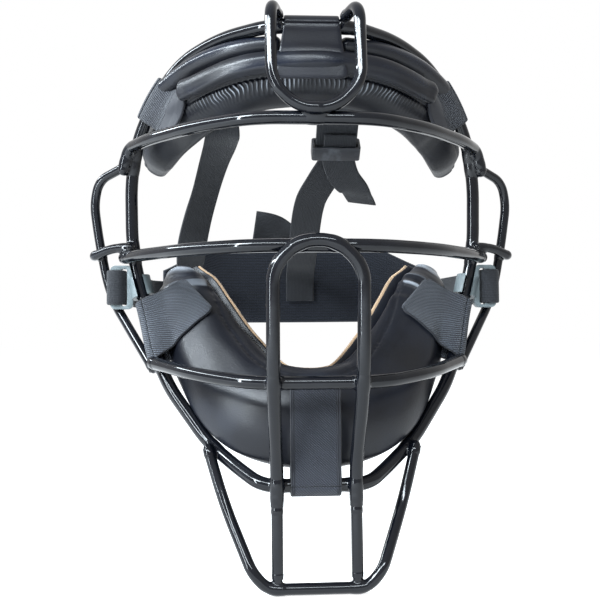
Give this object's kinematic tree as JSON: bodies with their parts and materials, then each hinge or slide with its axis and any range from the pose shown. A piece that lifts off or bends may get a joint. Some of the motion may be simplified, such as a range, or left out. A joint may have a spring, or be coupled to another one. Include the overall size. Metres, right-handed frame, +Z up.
{
  "type": "softball face guard",
  "caption": "Wire face guard with visor loop, ear guards and throat extension, padded at forehead and chin, with fold-over tabs, push-on clips and a stretch head harness.",
  "frame": {"origin": "middle of the face opening, in the plane of the temples, half way between the two sides of the hoop", "axes": "+Z up, +X to the right as seen from the front, +Y from the front of the mask towards the back of the head; the mask faces -Y"},
  "size_m": [0.2422, 0.2104, 0.2878],
  "materials": {
    "coated_wire": "thick glossy black coating over steel wire",
    "black_leather": "smooth black synthetic leather, glossy, gathered at the seams",
    "foam": "closed-cell foam core",
    "suede_lining": "matt tan suede",
    "webbing": "ribbed navy-black woven webbing",
    "band_fabric": "dark elastic knit",
    "clip_plastic": "satin dark grey plastic",
    "keeper_plastic": "satin black plastic"
  },
  "bodies": {
    "cage": {"hoop": "coated_wire", "brow_bar": "coated_wire", "eye_bar": "coated_wire", "mouth_bar": "coated_wire", "centre_loop": "coated_wire", "visor_loop": "coated_wire", "throat_frame": "coated_wire", "throat_post_left": "coated_wire", "throat_post_right": "coated_wire", "ear_guard_left": "coated_wire", "ear_guard_right": "coated_wire", "ear_stub_left": "coated_wire", "ear_stub_right": "coated_wire", "brow_cushion": "black_leather", "brow_foam": "foam", "brow_panel": "black_leather", "brow_roll_left": "black_leather", "brow_roll_right": "black_leather", "chin_cushion": "black_leather", "chin_foam": "foam", "chin_lining": "suede_lining", "brow_tab_root_left": "webbing", "brow_tab_root_centre": "black_leather", "brow_tab_root_right": "webbing", "chin_tab_root_left": "webbing", "chin_tab_root_centre": "webbing", "chin_tab_root_right": "webbing", "top_strap": "webbing", "strap_tail": "webbing"},
    "brow_flap_left": {"brow_tab_flap_left": "webbing"},
    "brow_flap_centre": {"brow_tab_flap_centre": "black_leather"},
    "brow_flap_right": {"brow_tab_flap_right": "webbing"},
    "chin_flap_left": {"chin_tab_flap_left": "webbing"},
    "chin_flap_centre": {"chin_tab_flap_centre": "webbing"},
    "chin_flap_right": {"chin_tab_flap_right": "webbing"},
    "clip_left": {"clip_left": "clip_plastic"},
    "clip_right": {"clip_right": "clip_plastic"},
    "band": {"back_band": "band_fabric", "side_strap_left": "webbing", "side_strap_right": "webbing", "crown_strap_left": "webbing", "crown_strap_right": "webbing", "strap_tab": "webbing"},
    "keeper": {"keeper": "keeper_plastic"}
  },
  "joints": [
    {"name": "brow_flap_centre_fold", "type": "hinge", "parent": "cage", "child": "brow_flap_centre", "pos_m": [0, -0.06337, 0.13754], "axis": [-1, 0, 0], "range_deg": [0, 100]},
    {"name": "brow_flap_left_fold", "type": "hinge", "parent": "cage", "child": "brow_flap_left", "pos_m": [-0.08673, -0.01249, 0.11186], "axis": [-0.5008, 0.2716, -0.8219], "range_deg": [0, 90]},
    {"name": "brow_flap_right_fold", "type": "hinge", "parent": "cage", "child": "brow_flap_right", "pos_m": [0.08673, -0.01249, 0.11186], "axis": [-0.5008, -0.2716, 0.8219], "range_deg": [0, 90]},
    {"name": "chin_flap_centre_fold", "type": "hinge", "parent": "cage", "child": "chin_flap_centre", "pos_m": [0, -0.0674, -0.09311], "axis": [1, 0, 0], "range_deg": [0, 100]},
    {"name": "chin_flap_left_fold", "type": "hinge", "parent": "cage", "child": "chin_flap_left", "pos_m": [-0.08734, -0.01452, -0.01283], "axis": [0.2352, -0.3268, -0.9154], "range_deg": [0, 80]},
    {"name": "chin_flap_right_fold", "type": "hinge", "parent": "cage", "child": "chin_flap_right", "pos_m": [0.08734, -0.01452, -0.01283], "axis": [0.2352, 0.3268, 0.9154], "range_deg": [0, 80]},
    {"name": "clip_left_swing", "type": "hinge", "parent": "cage", "child": "clip_left", "pos_m": [-0.0913, -0.00315, 0.00807], "axis": [0.2646, -0.1666, -0.9499], "range_deg": [-10, 4], "deforming": ["side_strap_left"]},
    {"name": "clip_right_swing", "type": "hinge", "parent": "cage", "child": "clip_right", "pos_m": [0.0913, -0.00315, 0.00807], "axis": [0.2646, 0.1666, 0.9499], "range_deg": [-10, 4], "deforming": ["side_strap_right"]},
    {"name": "band_stretch", "type": "slide", "parent": "cage", "child": "band", "axis": [0, 1, 0], "range_m": [0, 0.04], "stiffness_N_per_m": 150, "deforming": ["side_strap_left", "side_strap_right", "crown_strap_left", "crown_strap_right", "strap_tab"]},
    {"name": "keeper_slide", "type": "slide", "parent": "cage", "child": "keeper", "axis": [0, -0.7349, 0.6782], "range_m": [0, 0.006], "deforming": ["crown_strap_right"]}
  ]
}
